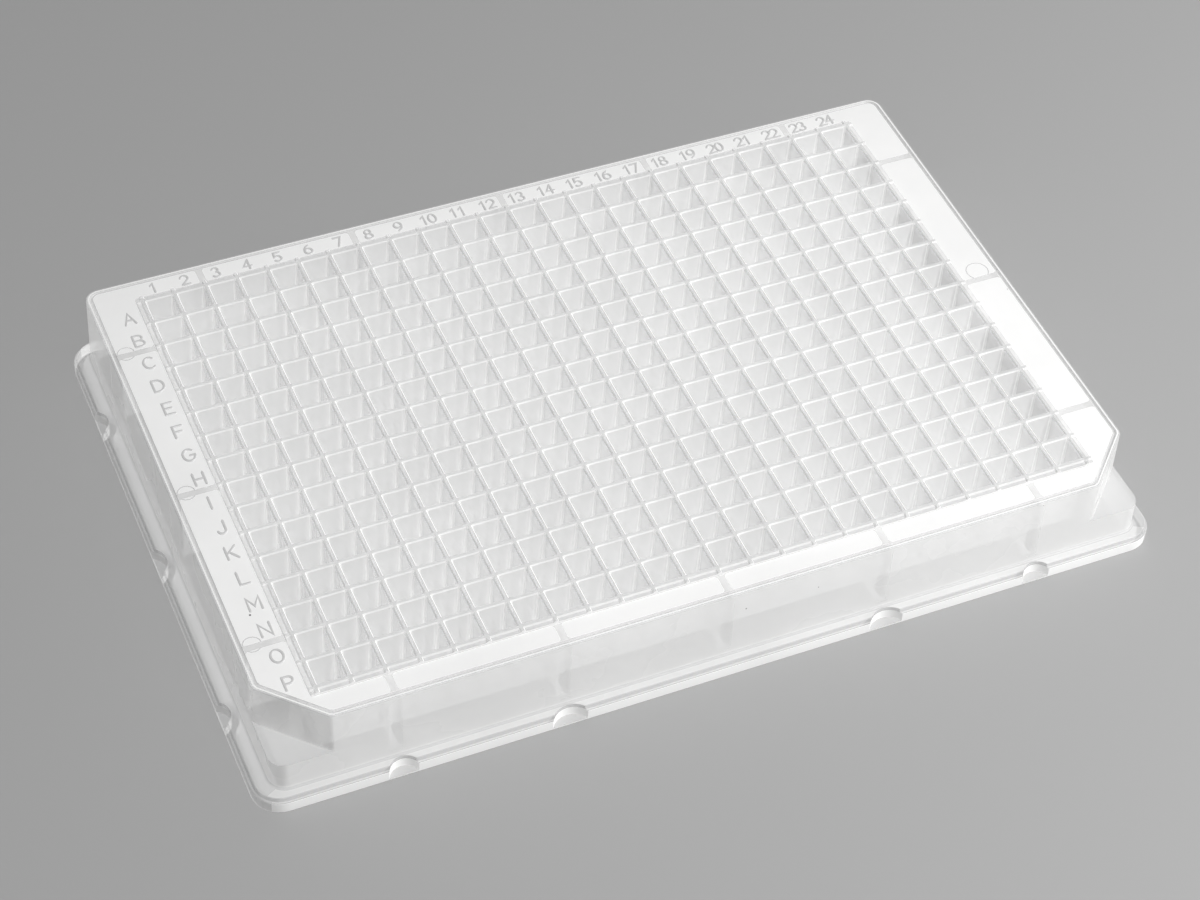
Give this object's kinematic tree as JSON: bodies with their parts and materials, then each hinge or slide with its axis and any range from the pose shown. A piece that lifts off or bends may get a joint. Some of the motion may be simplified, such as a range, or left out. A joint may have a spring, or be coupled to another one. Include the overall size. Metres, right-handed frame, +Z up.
{
  "type": "well plate",
  "caption": "Shallow rectangular microplate with a dense grid of small square wells, a skirt with two cut corners and a flanged foot.",
  "frame": {"origin": "centre of the footprint, on the surface that the plate stands on", "axes": "+X from column 1 to column 24, +Y from row P to row A, +Z up, out of the wells"},
  "size_m": [0.1278, 0.0854, 0.0141],
  "materials": {
    "plate": "translucent natural polypropylene, soft gloss"
  },
  "bodies": {
    "root": {"well_plate": "plate"}
  },
  "joints": []
}
